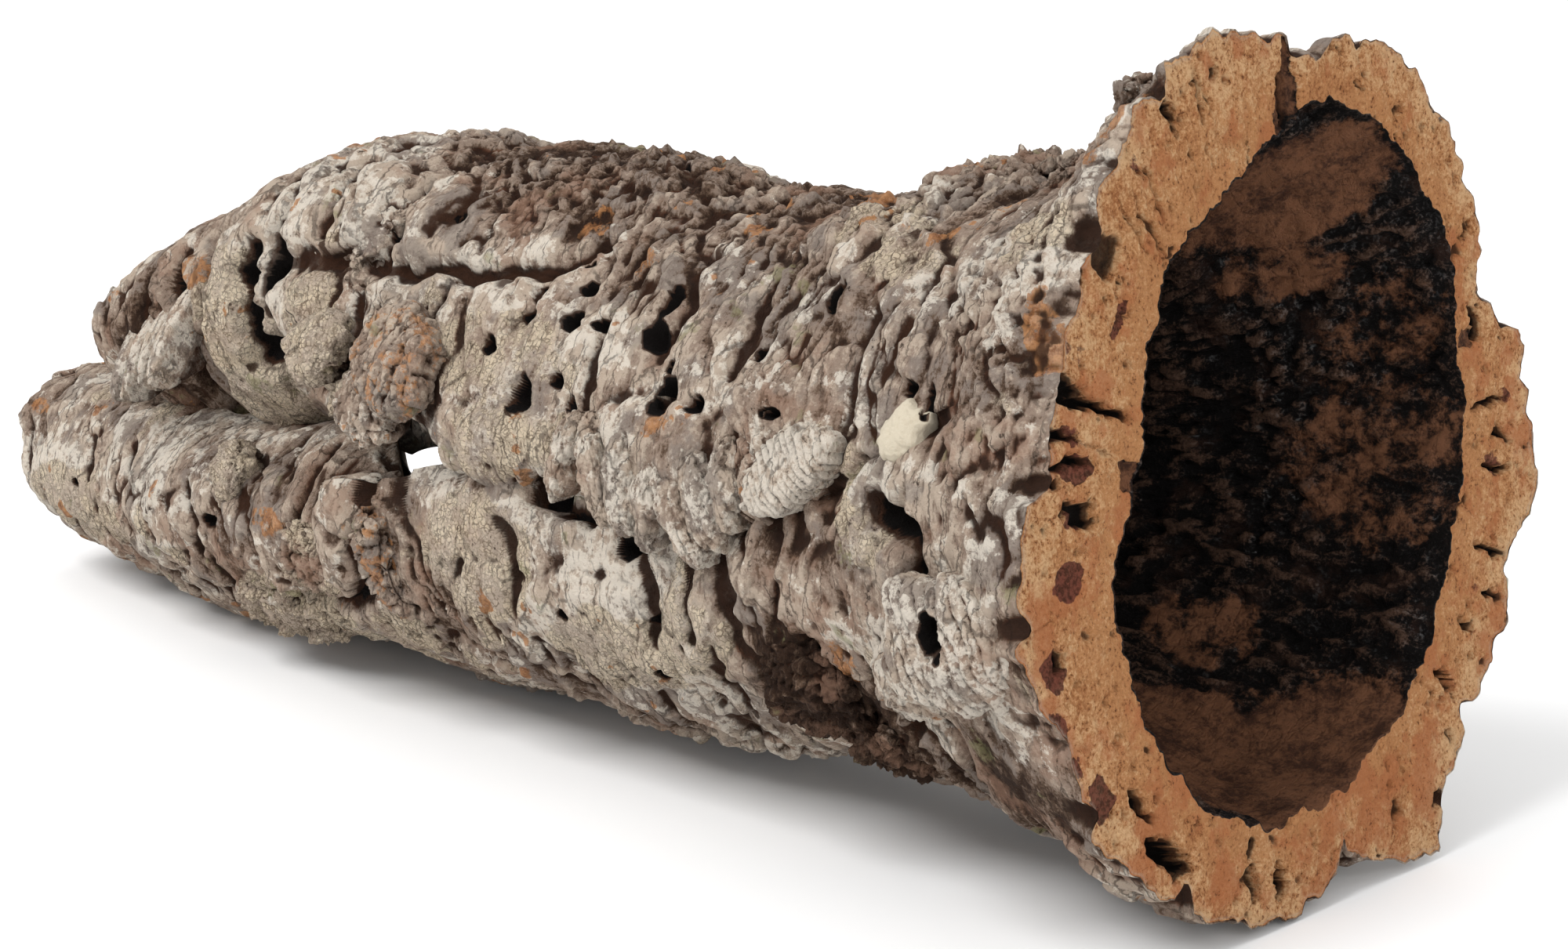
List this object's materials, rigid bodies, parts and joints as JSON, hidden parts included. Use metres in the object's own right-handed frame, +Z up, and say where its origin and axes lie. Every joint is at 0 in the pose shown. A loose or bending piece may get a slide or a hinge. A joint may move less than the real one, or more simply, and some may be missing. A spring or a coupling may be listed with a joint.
{
  "type": "cork bark tube",
  "caption": "Hollow tube of natural cork bark lying on its side, with a wide sawn end, a furrowed trunk and a fork into shorter, narrower hollow limbs at the far end.",
  "frame": {"origin": "on the floor under the middle of the tube's box, which is where it rests", "axes": "+X along the tube towards its wide sawn end, +Z up; the front furrow with the gap in it faces -Y"},
  "size_m": [0.394, 0.166, 0.1659],
  "materials": {
    "cork_bark": "rough weathered grey bark outside, tan sawn cork at the wide end, dark brown hollow"
  },
  "bodies": {
    "root": {"cork_bark_tube": "cork_bark"}
  },
  "joints": []
}
